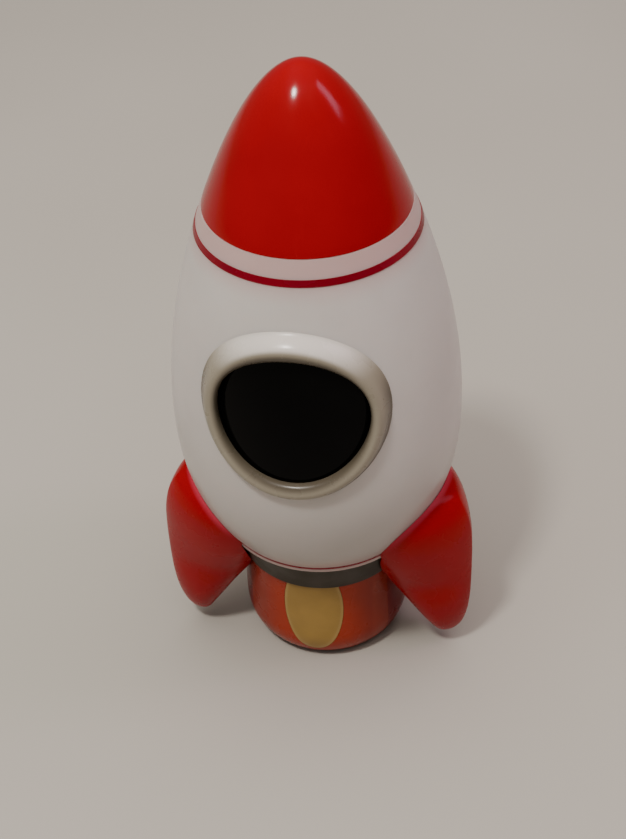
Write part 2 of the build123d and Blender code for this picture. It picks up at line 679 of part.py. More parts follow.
with BuildPart() as base_plate:
    with BuildSketch(Plane.XY.offset(PLATE_BOTTOM)):
        Circle(PLATE_RADIUS)
    extrude(amount=PLATE_TOP - PLATE_BOTTOM)
    with BuildSketch():
        Circle(PLATE_RADIUS)
        Circle(PLATE_RADIUS - RIM_WIDTH, mode=Mode.SUBTRACT)
    extrude(amount=PLATE_BOTTOM)
    with BuildSketch(Plane.XY.offset(PLATE_TOP)):
        with Locations(door_screw_spot):
            Circle(DOOR_BOSS_RADIUS)
    extrude(amount=DOOR_BOSS_HEIGHT)
    with BuildSketch(Plane.XY.offset(PLATE_BOTTOM)):
        door_outline(DOOR_FIT)
    extrude(amount=DOOR_RECESS, mode=Mode.SUBTRACT)
    with BuildSketch(Plane.XY.offset(RECESS_TOP)):
        Circle(CELL_OPENING_RADIUS)
        with Locations(door_screw_spot):
            Circle(DOOR_SCREW["shank"] + THREAD_FIT)
    extrude(amount=PLATE_TOP + DOOR_BOSS_HEIGHT - RECESS_TOP, mode=Mode.SUBTRACT)
    with BuildSketch(Plane.XY.offset(PLATE_BOTTOM)):
        with Locations(*plate_screw_spots):
            Circle(PLATE_SCREW["shank"] + 2 * SEAT_GAP)
        with Locations(switch_spot):
            Rectangle(knob_slot_length, knob_slot_width)
    extrude(amount=PLATE_TOP - PLATE_BOTTOM, mode=Mode.SUBTRACT)
    with BuildSketch(Plane.XY.offset(PLATE_BOTTOM)):
        with Locations(*plate_screw_spots):
            Circle(PLATE_SCREW["head"] + 2 * SEAT_GAP)
    extrude(amount=PLATE_SCREW["head_height"] + SEAT_GAP, mode=Mode.SUBTRACT)
finish(base_plate.part, "base_plate")

plate_screw_seat = PLATE_BOTTOM + PLATE_SCREW["head_height"]
finish(screw_group(facing_down(plate_screw_spots, plate_screw_seat), PLATE_SCREW), "base_plate_screws")

# ================================================================ battery door
with BuildPart() as battery_door:
    with BuildSketch(Plane.XY.offset(DOOR_BOTTOM)):
        door_outline(0.0)
    extrude(amount=DOOR_THICKNESS)
    with BuildSketch(Plane.XY.offset(DOOR_BOTTOM)):
        with Locations(door_screw_spot):
            Circle(DOOR_SCREW["shank"] + THREAD_FIT)
    extrude(amount=DOOR_THICKNESS, mode=Mode.SUBTRACT)
    with BuildSketch(Plane.XY.offset(DOOR_BOTTOM)):
        with Locations(door_screw_spot):
            Circle(DOOR_SCREW["head"] + THREAD_FIT)
    extrude(amount=DOOR_SCREW["head_height"], mode=Mode.SUBTRACT)
finish(battery_door.part, "battery_door")

door_screw_seat = DOOR_BOTTOM + DOOR_SCREW["head_height"] - THREAD_FIT
finish(screw_on(facing_down([door_screw_spot], door_screw_seat)[0], DOOR_SCREW), "door_screw")

cell_spots = spots(CELL_AZIMUTHS, CELL_CIRCLE)
with BuildPart() as door_contacts:
    with BuildSketch(Plane.XY.offset(DOOR_TOP)):
        with Locations(*cell_spots):
            Circle(CONTACT_RADIUS)
        with BuildLine():
            Line(cell_spots[1], cell_spots[2])
        trace(line_width=CONTACT_STRIP_WIDTH)
    extrude(amount=CONTACT_THICKNESS)
finish(door_contacts.part, "door_contacts")

# ================================================================ cells and their box
with BuildPart() as batteries:
    with BuildSketch(Plane.XY.offset(CELL_BOTTOM)):
        with Locations(*cell_spots):
            Circle(CELL_RADIUS)
    extrude(amount=CELL_LENGTH - CELL_NUB_HEIGHT)
    chamfer(batteries.edges().filter_by(GeomType.CIRCLE), CELL_EDGE)
    with BuildSketch(Plane.XY.offset(CELL_TOP - CELL_NUB_HEIGHT)):
        with Locations(*cell_spots):
            Circle(CELL_NUB_RADIUS)
    extrude(amount=CELL_NUB_HEIGHT)
finish(batteries.part, "batteries")

board_post_spots = spots(BOARD_POST_AZIMUTHS, BOARD_POST_CIRCLE)
with BuildPart() as battery_box:
    with BuildSketch(Plane.XY.offset(BOX_BOTTOM)):
        Circle(BOX_RADIUS)
    extrude(amount=BOX_TOP - BOX_BOTTOM)
    with BuildSketch(Plane.XY.offset(BOX_FLANGE_BOTTOM)):
        Circle(BOX_FLANGE_RADIUS)
        with Locations(*box_screw_spots):
            Circle(BOX_SCREW["shank"] + 2 * SEAT_GAP, mode=Mode.SUBTRACT)
        with Locations(lead_hole_spot):
            Circle(LEAD_HOLE_RADIUS, mode=Mode.SUBTRACT)
    extrude(amount=BOX_FLANGE_THICKNESS)
    with BuildSketch(Plane.XY.offset(BOX_TOP)):
        with Locations(*board_post_spots):
            Circle(BOARD_POST_RADIUS)
    extrude(amount=BOARD_STAND_OFF - SEAT_GAP)
    with BuildSketch(Plane.XY.offset(BOX_BOTTOM)):
        with Locations(*cell_spots):
            Circle(CELL_RADIUS + CELL_FIT)
    extrude(amount=BOX_CEILING_BOTTOM - BOX_BOTTOM, mode=Mode.SUBTRACT)
    with BuildSketch(Plane.XY.offset(BOARD_BOTTOM)):
        with Locations(*board_post_spots):
            Circle(BOARD_SCREW["shank"] + THREAD_FIT)
    extrude(amount=-BOARD_SCREW["length"], mode=Mode.SUBTRACT)
finish(battery_box.part, "battery_box")

finish(screw_group(facing_up(box_screw_spots, BOX_FLANGE_TOP + THREAD_FIT), BOX_SCREW), "battery_box_screws")


def contact_spring(x, y):
    """One coil spring that presses on a cell."""
    coil_height = SPRING_ROOM - 2 * SPRING_WIRE - 2 * SEAT_GAP
    base = CELL_TOP + SPRING_WIRE + SEAT_GAP
    with BuildPart() as spring:
        with BuildLine():
            coil = Helix(
                pitch=coil_height / SPRING_TURNS,
                height=coil_height,
                radius=SPRING_RADIUS,
                center=(x, y, base),
            )
        with BuildSketch(Plane(origin=coil @ 0, z_dir=coil % 0)):
            Circle(SPRING_WIRE)
        sweep()
    return spring.part


finish(Compound(children=[contact_spring(x, y) for x, y in cell_spots]), "battery_springs")

# ================================================================ lamp board
with BuildPart() as led_board:
    with BuildSketch(Plane.XY.offset(BOARD_BOTTOM)):
        Circle(BOARD_RADIUS)
        with Locations(*board_post_spots):
            Circle(BOARD_SCREW["shank"] + 2 * SEAT_GAP, mode=Mode.SUBTRACT)
    extrude(amount=BOARD_THICKNESS)
finish(led_board.part, "led_board")

finish(screw_group(facing_up(board_post_spots, BOARD_TOP + THREAD_FIT), BOARD_SCREW), "board_screws")

led_spots = spots(LED_AZIMUTHS, LED_CIRCLE)
led_bottom = BOARD_TOP + SEAT_GAP / 2
with BuildPart() as leds:
    with BuildSketch(Plane.XY.offset(led_bottom)):
        with Locations(*led_spots):
            Circle(LED_FLANGE_RADIUS)
    extrude(amount=LED_FLANGE_HEIGHT)
    with BuildSketch(Plane.XY.offset(led_bottom + LED_FLANGE_HEIGHT)):
        with Locations(*led_spots):
            Circle(LED_RADIUS)
    extrude(amount=LED_BARREL_HEIGHT)
    fillet(leds.edges().filter_by(GeomType.CIRCLE).group_by(Axis.Z)[-1], LED_RADIUS * LED_DOME_SHARE)
finish(leds.part, "leds")

with BuildPart() as board_components:
    with BuildSketch(Plane.XY.offset(led_bottom)):
        Rectangle(CHIP_SIZE[0] / 2, CHIP_SIZE[1] / 2)
    extrude(amount=CHIP_SIZE[2])
    resistor_seat = led_bottom + RESISTOR_RADIUS
    for azimuth in RESISTOR_AZIMUTHS:
        x, y = spot(azimuth, RESISTOR_OUT)
        with BuildSketch(Plane(origin=(x, y - RESISTOR_LENGTH / 2, resistor_seat), z_dir=(0, 1, 0))):
            Circle(RESISTOR_RADIUS)
        extrude(amount=RESISTOR_LENGTH)
finish(board_components.part, "board_components")

# ================================================================ power switch
switch_bottom = PLATE_TOP + SEAT_GAP
cavity_length = KNOB_HEAD_LENGTH + SWITCH_TRAVEL + 2 * SLIDE_FIT
cavity_width = KNOB_HEAD_WIDTH + 2 * SLIDE_FIT
with BuildPart() as switch_body:
    with BuildSketch(Plane.XY.offset(switch_bottom)):
        with Locations(switch_spot):
            Rectangle(SWITCH_LENGTH, SWITCH_WIDTH)
    extrude(amount=SWITCH_HEIGHT)
    with BuildSketch(Plane.XY.offset(switch_bottom)):
        with Locations(switch_spot):
            Rectangle(cavity_length, cavity_width)
    extrude(amount=KNOB_HEAD_HEIGHT + 2 * SLIDE_FIT, mode=Mode.SUBTRACT)
finish(switch_body.part, "switch_body")

with BuildPart() as switch_knob:
    with BuildSketch(Plane.XY.offset(KNOB_BOTTOM)):
        with Locations((SWITCH_X_OFF, switch_spot[1])):
            Rectangle(KNOB_LENGTH, KNOB_WIDTH)
    extrude(amount=switch_bottom + SLIDE_FIT - KNOB_BOTTOM)
    with BuildSketch(Plane.XY.offset(switch_bottom + SLIDE_FIT)):
        with Locations((SWITCH_X_OFF, switch_spot[1])):
            Rectangle(KNOB_HEAD_LENGTH, KNOB_HEAD_WIDTH)
    extrude(amount=KNOB_HEAD_HEIGHT)
finish(switch_knob.part, "switch_knob")

# ================================================================ leads
LEAD_DROP = 4.0  # height of the bend above the board
LEAD_LANDING = 2.2  # in from the board's edge
LEAD_CLEAR = 1.2  # out from the board's edge
LEAD_STRAIGHT = 6.0  # above the switch before the wire leans out
LEAD_LEAN = 6.0
LEAD_OVER_FLANGE = 8.0
LEAD_UNDER_TOP = 3.0


def lead(side):
    """A wire from the switch up past the battery box and over the edge of the board."""
    x = side * LEAD_SPACING
    start = switch_bottom + SWITCH_HEIGHT
    inner = -(BOARD_RADIUS + LEAD_CLEAR + LEAD_RADIUS)
    inner = min(inner, -(BOX_RADIUS + 2 * LEAD_RADIUS))
    landing = -(BOARD_RADIUS - LEAD_LANDING)
    with BuildPart() as wire:
        with BuildLine():
            path = FilletPolyline(
                (x, -SWITCH_OUT, start),
                (x, -SWITCH_OUT, start + LEAD_STRAIGHT),
                (x, -LEAD_HOLE_OUT, start + LEAD_STRAIGHT + LEAD_LEAN),
                (x, -LEAD_HOLE_OUT, BOX_FLANGE_TOP + LEAD_OVER_FLANGE),
                (x, inner, BOX_TOP - LEAD_UNDER_TOP),
                (x, inner, BOARD_TOP + LEAD_DROP),
                (x, landing, BOARD_TOP + LEAD_DROP),
                (x, landing, BOARD_TOP),
                radius=LEAD_BEND,
            )
        with BuildSketch(Plane(origin=path @ 0, z_dir=path % 0)):
            Circle(LEAD_RADIUS)
        sweep()
    return wire.part


finish(lead(-1), "switch_lead_red")
finish(lead(1), "switch_lead_black")
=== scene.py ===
"""Looks of a battery night light shaped like a toy rocket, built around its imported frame."""

import json
from math import copysign, cos, hypot, pi, radians, sin, sqrt

import bpy
from bpy.props import FloatProperty, FloatVectorProperty, PointerProperty
from mathutils import Matrix, Quaternion, Vector


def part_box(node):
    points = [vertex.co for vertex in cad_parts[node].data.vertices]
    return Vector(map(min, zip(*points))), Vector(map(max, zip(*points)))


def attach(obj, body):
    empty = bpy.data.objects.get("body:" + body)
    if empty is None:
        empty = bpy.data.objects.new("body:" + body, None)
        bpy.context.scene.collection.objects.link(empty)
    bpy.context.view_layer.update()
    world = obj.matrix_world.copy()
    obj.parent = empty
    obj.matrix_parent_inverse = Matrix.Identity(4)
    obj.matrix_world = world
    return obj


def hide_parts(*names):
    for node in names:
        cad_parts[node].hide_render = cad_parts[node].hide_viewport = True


bl_info = {
    "name": "Rocket night light",
    "version": (1, 0, 0),
    "blender": (4, 5, 0),
    "location": "3D View > Sidebar > Rocket",
    "description": "Builds the looks of a rocket night light around its packed frame",
    "category": "Object",
}

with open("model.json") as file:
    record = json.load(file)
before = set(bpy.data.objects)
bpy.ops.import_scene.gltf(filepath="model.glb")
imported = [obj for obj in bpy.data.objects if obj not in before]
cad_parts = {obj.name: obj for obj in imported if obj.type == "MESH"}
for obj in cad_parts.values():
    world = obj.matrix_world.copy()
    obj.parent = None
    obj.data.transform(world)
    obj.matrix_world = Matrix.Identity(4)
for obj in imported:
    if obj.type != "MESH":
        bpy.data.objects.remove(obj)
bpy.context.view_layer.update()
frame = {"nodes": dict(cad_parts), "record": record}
NODES = frame["nodes"]
ROCKET = "rocket"
MM = 0.001

BODY_LOW, BODY_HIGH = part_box("body_shell")
NOSE_LOW, NOSE_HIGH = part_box("nose_cap")
COLLAR_LOW, COLLAR_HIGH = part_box("collar_ring")
BEZEL_LOW, BEZEL_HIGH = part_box("porthole_bezel")
REAR_FIN_LOW, REAR_FIN_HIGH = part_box("rear_fin")

PORTHOLE_HEIGHT = (BEZEL_LOW.z + BEZEL_HIGH.z) / 2

# the body bulges by these powers below and above its belly, and the nose narrows by the third
LOWER_FULLNESS = 2.5
UPPER_FULLNESS = 1.87
NOSE_FULLNESS = 1.084
NOSE_HEIGHT = 36.4 * MM
NOSE_WALL = 2 * MM
NOSE_TIP_WALL = 3 * MM
NOSE_SPIGOT = 6 * MM
NOSE_SPIGOT_WALL = 1.5 * MM
NOSE_SEAT_ROUND = 0.3 * MM
NOSE_POLE = 0.05 * MM
SEAT_CLEARANCE = 0.02 * MM

COLLAR_LOW_RADIUS = 24.0 * MM
COLLAR_BORE = 22.6 * MM
LIP_RADIUS = 28.75 * MM
LIP_BORE = 27.2 * MM
LIP_HEIGHT = 1.1 * MM
LINE_TOP = 1.9 * MM
LINE_BORE = 28.2 * MM

PETAL_HALF_WIDTH = 8.4 * MM
PETAL_HALF_HEIGHT = 17.5 * MM
PETAL_MIDDLE = 22 * MM
CELL_BAND_HEIGHT = 0.0358

FIN_RINGS = 66
FIN_REACH_TRIM = 0.03 * MM
FIN_EDGE_ROUND = 1.2 * MM
# the fin's plan is a teardrop, share**0.5 * (1 - share)**0.75, scaled to a half width of 1
FIN_PLAN_SCALE = 2.334
FIN_PLAN_TAPER = 0.75
CUTTER_LOW = -5 * MM
CUTTER_RISE = 60 * MM
CUTTER_AXIS = 0.01 * MM
LIP_CLEARANCE = 0.1 * MM

RIM_OUTER = 23.7 * MM
RIM_WIDENING = 0.55 * MM
RIM_FLATTENING = 1.5 * MM
RIM_LEAN = 0.24
FIN_AZIMUTHS = {"right_fin": 75.0, "left_fin": -75.0, "rear_fin": 180.0}
# share of the fin's height, inner edge, outer edge (both in from the reach, mm), share of half width
FIN_STATIONS = (
    (0.000, 8.4, 6.0, 0.06),
    (0.025, 10.4, 4.0, 0.18),
    (0.085, 12.4, 2.2, 0.30),
    (0.178, 15.8, 0.9, 0.42),
    (0.297, 20.4, 0.2, 0.53),
    (0.432, 26.4, 0.0, 0.63),
    (0.534, 29.0, 0.0, 0.75),
    (0.640, 31.0, 0.1, 0.88),
    (0.750, 31.0, 0.5, 0.97),
    (0.840, 30.0, 1.5, 1.00),
    (0.900, 28.0, 2.8, 0.95),
    (0.950, 25.0, 4.5, 0.81),
    (0.982, 20.0, 6.8, 0.55),
    (1.000, 14.8, 9.8, 0.18),
)
# the rim's section: distance from the porthole's centre, height above the body's surface (mm)
RIM_SECTION = (
    (18.4, -0.45),
    (18.4, 0.2),
    (18.5, 0.8),
    (18.75, 1.35),
    (19.15, 1.88),
    (19.65, 2.3),
    (20.2, 2.6),
    (20.75, 2.76),
    (21.25, 2.74),
    (21.75, 2.52),
    (22.2, 2.12),
    (22.6, 1.58),
    (22.92, 1.0),
    (23.18, 0.5),
    (23.42, 0.16),
    (23.7, 0.0),
    (23.5, -0.08),
    (21.2, -0.1),
    (21.2, -0.45),
)


# ---------------------------------------------------------------- settings
class RocketSizes(bpy.types.PropertyGroup):
    """Sizes of the rocket's looks."""

    belly_radius: FloatProperty(
        name="Belly radius", description="Widest radius of the body", default=0.0384, unit="LENGTH"
    )
    mouth_radius: FloatProperty(
        name="Mouth radius", description="Radius of the body at its bottom", default=0.0276, unit="LENGTH"
    )
    neck_radius: FloatProperty(
        name="Neck radius", description="Radius of the body under the nose", default=0.0257, unit="LENGTH"
    )
    belly_height: FloatProperty(
        name="Belly height", description="Height of the widest ring", default=0.0825, unit="LENGTH"
    )
    fin_half_width: FloatProperty(
        name="Fin half width", description="Half of a fin's greatest width", default=0.017, unit="LENGTH"
    )
    fin_gap: FloatProperty(
        name="Fin gap", description="Room between a fin and the round body", default=0.00008, unit="LENGTH"
    )
    edge_round: FloatProperty(
        name="Edge rounding", description="Rounding of the collar's edges", default=0.0005, unit="LENGTH"
    )


class RocketColours(bpy.types.PropertyGroup):
    """Colours of the rocket's finishes."""

    red: FloatVectorProperty(
        name="Red", description="Nose and fins", subtype="COLOR", default=(0.31, 0.0, 0.004)
    )
    trim: FloatVectorProperty(
        name="Trim red", description="Thin painted rings", subtype="COLOR", default=(0.2, 0.0, 0.01)
    )
    milk: FloatVectorProperty(
        name="Milky white", description="Translucent body", subtype="COLOR", default=(0.62, 0.565, 0.535)
    )
    rim: FloatVectorProperty(
        name="Rim grey", description="Porthole rim", subtype="COLOR", default=(0.3, 0.262, 0.2)
    )
    window: FloatVectorProperty(
        name="Window black", description="Porthole window", subtype="COLOR", default=(0.0006, 0.0006, 0.0007)
    )
    collar: FloatVectorProperty(
        name="Collar grey", description="Collar under the body", subtype="COLOR", default=(0.028, 0.022, 0.013)
    )
    base: FloatVectorProperty(
        name="Base red", description="Sides of the base", subtype="COLOR", default=(0.17, 0.0008, 0.002)
    )
    orange: FloatVectorProperty(
        name="Flame orange", description="Base panels", subtype="COLOR", default=(0.26, 0.016, 0.003)
    )
    yellow: FloatVectorProperty(
        name="Flame yellow", description="Flame petals", subtype="COLOR", default=(0.34, 0.205, 0.05)
    )


class RocketView(bpy.types.PropertyGroup):
    """Where the camera stands."""

    azimuth: FloatProperty(
        name="Azimuth", description="Turn round the rocket", default=radians(11.0), subtype="ANGLE"
    )
    elevation: FloatProperty(
        name="Elevation", description="Angle above the floor", default=radians(41.29), subtype="ANGLE"
    )
    roll: FloatProperty(
        name="Roll", description="Lean of the camera", default=radians(3.07), subtype="ANGLE"
    )
    yaw: FloatProperty(
        name="Yaw", description="Turn off the aim point", default=radians(0.228), subtype="ANGLE"
    )
    pitch: FloatProperty(
        name="Pitch", description="Tilt off the aim point", default=radians(0.042), subtype="ANGLE"
    )
    distance: FloatProperty(
        name="Distance", description="Camera to aim point", default=0.40698, unit="LENGTH"
    )
    aim_height: FloatProperty(
        name="Aim height", description="Height of the aim point", default=0.0724, unit="LENGTH"
    )
    lens: FloatProperty(name="Lens", description="Focal length in mm", default=64.36)


# ---------------------------------------------------------------- outline of the round parts
def body_radius(height):
    """Outer radius of the body at a height."""
    sizes = bpy.context.scene.rocket_sizes
    if height < sizes.belly_height:
        share = (sizes.belly_height - height) / (sizes.belly_height - BODY_LOW.z)
        return sizes.belly_radius - (sizes.belly_radius - sizes.mouth_radius) * share**LOWER_FULLNESS
    share = (height - sizes.belly_height) / (NOSE_HIGH.z - NOSE_HEIGHT - sizes.belly_height)
    return sizes.belly_radius - (sizes.belly_radius - sizes.neck_radius) * share**UPPER_FULLNESS


def steps(low, high, count):
    """Evenly spaced values from low to high, both included."""
    return [low + (high - low) * index / (count - 1) for index in range(count)]


def between(values, place):
    """A value on a smooth curve through evenly counted values, at a place from 0 to their count less 1."""
    index = min(int(place), len(values) - 2)
    t = place - index
    a = values[max(index - 1, 0)]
    b = values[index]
    c = values[index + 1]
    d = values[min(index + 2, len(values) - 1)]
    return b + 0.5 * t * (c - a + t * (2 * a - 5 * b + 4 * c - d + t * (3 * (b - c) + d - a)))


# ---------------------------------------------------------------- modelling tools
def clear_selection():
    """Leaves edit mode and selects nothing."""
    active = bpy.context.view_layer.objects.active
    if active is not None and active.mode != "OBJECT":
        bpy.ops.object.mode_set(mode="OBJECT")
    bpy.ops.object.select_all(action="DESELECT")


def open_for_edit(piece):
    """Goes into edit mode on one piece with all of it selected."""
    clear_selection()
    bpy.context.view_layer.objects.active = piece
    piece.select_set(True)
    bpy.ops.object.mode_set(mode="EDIT")
    bpy.ops.mesh.select_all(action="SELECT")


def only(piece):
    """Makes one piece the selected and active one, in object mode."""
    clear_selection()
    bpy.context.view_layer.objects.active = piece
    piece.select_set(True)


def settle(piece, smooth_angle=35.0):
    """Puts a piece's place in its mesh, merges doubles, points its faces out and smooths it."""
    only(piece)
    bpy.ops.object.transform_apply(location=True, rotation=True, scale=True)
    open_for_edit(piece)
    bpy.ops.mesh.remove_doubles(threshold=0.000002)
    bpy.ops.mesh.select_all(action="SELECT")
    bpy.ops.mesh.normals_make_consistent(inside=False)
    bpy.ops.object.mode_set(mode="OBJECT")
    bpy.ops.object.shade_smooth_by_angle(angle=radians(smooth_angle))
    return piece


def apply_modifier(piece, kind, **values):
    """Adds a modifier, sets it and applies it."""
    only(piece)
    modifier = piece.modifiers.new(kind.title(), kind)
    for key, value in values.items():
        setattr(modifier, key, value)
    bpy.ops.object.modifier_apply(modifier=modifier.name)


def turned(name, section, sides=144):
    """A closed round piece: a circle extruded and scaled from point to point of a section."""
    radius, height = section[0]
    clear_selection()
    bpy.ops.mesh.primitive_circle_add(vertices=sides, radius=radius, fill_type="NOTHING")
    piece = bpy.context.object
    piece.name = name
    piece.data.name = name
    open_for_edit(piece)
    bpy.ops.transform.translate(value=(0, 0, height))
    for next_radius, next_height in [*section[1:], section[0]]:
        bpy.ops.mesh.extrude_region_move(TRANSFORM_OT_translate={"value": (0, 0, next_height - height)})
        scale = next_radius / radius
        bpy.ops.transform.resize(value=(scale, scale, 1), center_override=(0, 0, next_height))
        radius, height = next_radius, next_height
    return settle(piece)


def round_edges(piece, width, angle):
    """Rounds the edges sharper than an angle in degrees."""
    apply_modifier(
        piece, "BEVEL", width=width, segments=4, limit_method="ANGLE", angle_limit=radians(angle)
    )


def cut_away(piece, cutter):
    """Subtracts a cutter from a piece and removes the cutter."""
    apply_modifier(piece, "BOOLEAN", operation="DIFFERENCE", object=cutter, solver="EXACT")
    bpy.data.objects.remove(cutter, do_unlink=True)


def place(piece, material, slot, *nodes):
    """Gives a piece its finish and its place on the rocket, and lets it stand for CAD nodes."""
    piece.data.materials.clear()
    piece.data.materials.append(material)
    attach(piece, ROCKET)
    if nodes:
        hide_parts(*nodes)


# ---------------------------------------------------------------- finishes
class Finish:
    """A material under construction: short calls add and join nodes."""

    def __init__(self, name, colour, roughness):
        self.material = bpy.data.materials.new(name)
        self.material.use_nodes = True
        self.tree = self.material.node_tree
        self.tree.nodes.clear()
        self.shader = self.tree.nodes.new("ShaderNodeBsdfPrincipled")
        out = self.tree.nodes.new("ShaderNodeOutputMaterial")
        self.join(self.shader.outputs["BSDF"], out.inputs["Surface"])
        self.coordinates = self.tree.nodes.new("ShaderNodeTexCoord").outputs["Object"]
        self.shader.inputs["Base Color"].default_value = (*colour, 1)
        self.shader.inputs["Roughness"].default_value = roughness

    def join(self, source, target):
        self.tree.links.new(source, target)

    def set(self, **values):
        """Sets uniform shader inputs; underscores stand for spaces."""
        for key, value in values.items():
            self.shader.inputs[key.replace("_", " ")].default_value = value
        return self

    def noise(self, scale, detail=4.0, stretch=(1, 1, 1), distortion=0.0):
        """A noise pattern that holds about `scale` features to the metre."""
        mapping = self.tree.nodes.new("ShaderNodeMapping")
        mapping.inputs["Scale"].default_value = stretch
        self.join(self.coordinates, mapping.inputs["Vector"])
        node = self.tree.nodes.new("ShaderNodeTexNoise")
        node.inputs["Scale"].default_value = scale
        node.inputs["Detail"].default_value = detail
        node.inputs["Distortion"].default_value = distortion
        self.join(mapping.outputs["Vector"], node.inputs["Vector"])
        return node.outputs["Fac"]

    def spread(self, value, low_in, high_in, low_out, high_out):
        """Maps a value smoothly from one range to another, held at its ends."""
        node = self.tree.nodes.new("ShaderNodeMapRange")
        node.interpolation_type = "SMOOTHSTEP"
        node.inputs["From Min"].default_value = low_in
        node.inputs["From Max"].default_value = high_in
        node.inputs["To Min"].default_value = low_out
        node.inputs["To Max"].default_value = high_out
        self.join(value, node.inputs["Value"])
        return node.outputs["Result"]

    def math(self, operation, first, second=0.0):
        """One step of arithmetic on numbers or outputs."""
        node = self.tree.nodes.new("ShaderNodeMath")
        node.operation = operation
        for socket, value in zip(node.inputs, (first, second)):
            if isinstance(value, (int, float)):
                socket.default_value = value
            else:
                self.join(value, socket)
        return node.outputs["Value"]

    def length(self, first, second):
        """The length of the vector that two outputs make."""
        squares = self.math("ADD", self.math("POWER", first, 2), self.math("POWER", second, 2))
        return self.math("SQRT", squares)

    def mix(self, share, first, second):
        """Mixes two colours, each a tuple or an output."""
        node = self.tree.nodes.new("ShaderNodeMix")
        node.data_type = "RGBA"
        self.join(share, node.inputs["Factor"])
        for socket, value in ((node.inputs[6], first), (node.inputs[7], second)):
            if isinstance(value, tuple):
                socket.default_value = (*value, 1)
            else:
                self.join(value, socket)
        return node.outputs[2]

    def axis(self, letter):
        """The place along one of the object's axes."""
        node = self.tree.nodes.new("ShaderNodeSeparateXYZ")
        self.join(self.coordinates, node.inputs["Vector"])
        return node.outputs[letter]

    def colour(self, output):
        self.join(output, self.shader.inputs["Base Color"])
        return self

    def roughness(self, output):
        self.join(output, self.shader.inputs["Roughness"])
        return self

    def bump(self, output, distance, strength=0.3):
        node = self.tree.nodes.new("ShaderNodeBump")
        node.inputs["Distance"].default_value = distance
        node.inputs["Strength"].default_value = strength
        self.join(output, node.inputs["Height"])
        self.join(node.outputs["Normal"], self.shader.inputs["Normal"])
        return self


def shade(colour, factor):
    """A colour made darker or lighter by a factor."""
    return tuple(min(1.0, channel * factor) for channel in colour)


def moulded(
    name, colour, low_rough, high_rough, bump=0.00002, grain=900.0, variation=0.12, **values
):
    """Moulded plastic: slow tone changes, uneven gloss, faint scuffs and a fine surface ripple."""
    finish = Finish(name, colour, low_rough)
    clouds = finish.spread(finish.noise(45.0, 3.0), 0.3, 0.7, 0.0, 1.0)
    tone = finish.mix(clouds, shade(colour, 1 - variation), shade(colour, 1 + variation))
    scuffs = finish.spread(finish.noise(160.0, 8.0, (1, 1, 0.35), 1.4), 0.62, 0.74, 0.0, 1.0)
    finish.colour(finish.mix(finish.math("MULTIPLY", scuffs, 0.05), tone, shade(colour, 1.5)))
    gloss = finish.spread(finish.noise(120.0, 5.0), 0.35, 0.7, low_rough, high_rough)
    finish.roughness(finish.math("ADD", gloss, finish.math("MULTIPLY", scuffs, 0.08)))
    finish.bump(finish.noise(grain, 3.0), bump)
    return finish.set(**values)


def fin_plastic(red):
    """Red fins: satin, with a painted pink highlight where they lie against the translucent body."""
    finish = moulded("fin_red", red, 0.24, 0.32, 0.00001, 500.0, 0.05, Specular_IOR_Level=0.1)
    sizes = bpy.context.scene.rocket_sizes
    height = finish.axis("Z")
    drop = finish.math("MAXIMUM", finish.math("SUBTRACT", sizes.belly_height, height), 0.0)
    share = finish.math(
        "POWER", finish.math("DIVIDE", drop, sizes.belly_height - BODY_LOW.z), LOWER_FULLNESS
    )
    narrowing = finish.math("MULTIPLY", share, sizes.belly_radius - sizes.mouth_radius)
    skin = finish.math("SUBTRACT", sizes.belly_radius, narrowing)
    out = finish.length(finish.axis("X"), finish.axis("Y"))
    # painted highlight: pink on the fin where it lies within about 2 mm of the body, above the fin's foot
    near = finish.spread(finish.math("SUBTRACT", out, skin), 0.0002, 0.0022, 0.7, 0.0)
    upper = finish.spread(height, BODY_LOW.z + 0.002, BODY_LOW.z + 0.012, 0.0, 1.0)
    plain = finish.shader.inputs["Base Color"].links[0].from_socket
    finish.colour(finish.mix(finish.math("MULTIPLY", near, upper), plain, (0.55, 0.05, 0.09)))
    return finish


def milky_plastic(colours):
    """The translucent body: milky, satin, with painted shade towards its bottom and painted red reflected
    light beside its red neighbours.
    """
    milk = tuple(colours.milk)
    finish = Finish("milky_plastic", milk, 0.36)
    clouds = finish.spread(finish.noise(28.0, 4.0), 0.32, 0.68, 0.0, 1.0)
    tone = finish.mix(clouds, shade(milk, 0.95), shade(milk, 1.04))
    height = finish.axis("Z")
    # painted shade: the body grows darker towards its bottom, where less light falls
    low = finish.spread(height, BODY_LOW.z, BODY_LOW.z + 0.05, 0.6, 0.0)
    tone = finish.mix(low, tone, shade(milk, 0.5))
    # painted reflection: red light from the red parts above and below tints the body near its top and its foot
    top = finish.spread(height, BODY_HIGH.z - 0.0115, BODY_HIGH.z - 0.003, 0.0, 0.42)
    foot = finish.spread(height, BODY_LOW.z + 0.0085, BODY_LOW.z, 0.0, 0.3)
    painted_red_reflection = finish.math("ADD", top, foot)
    finish.colour(finish.mix(painted_red_reflection, tone, (0.5, 0.13, 0.13)))
    scuffs = finish.spread(finish.noise(210.0, 8.0, (1, 1, 0.4), 1.2), 0.64, 0.76, 0.0, 0.1)
    gloss = finish.spread(finish.noise(90.0, 4.0), 0.35, 0.7, 0.3, 0.42)
    finish.roughness(finish.math("ADD", gloss, scuffs))
    finish.bump(finish.noise(700.0, 3.0), 0.000015)
    return finish.set(
        Subsurface_Weight=0.35,
        Subsurface_Radius=(1.0, 0.7, 0.6),
        Subsurface_Scale=0.006,
        Coat_Weight=0.12,
        Coat_Roughness=0.25,
    )


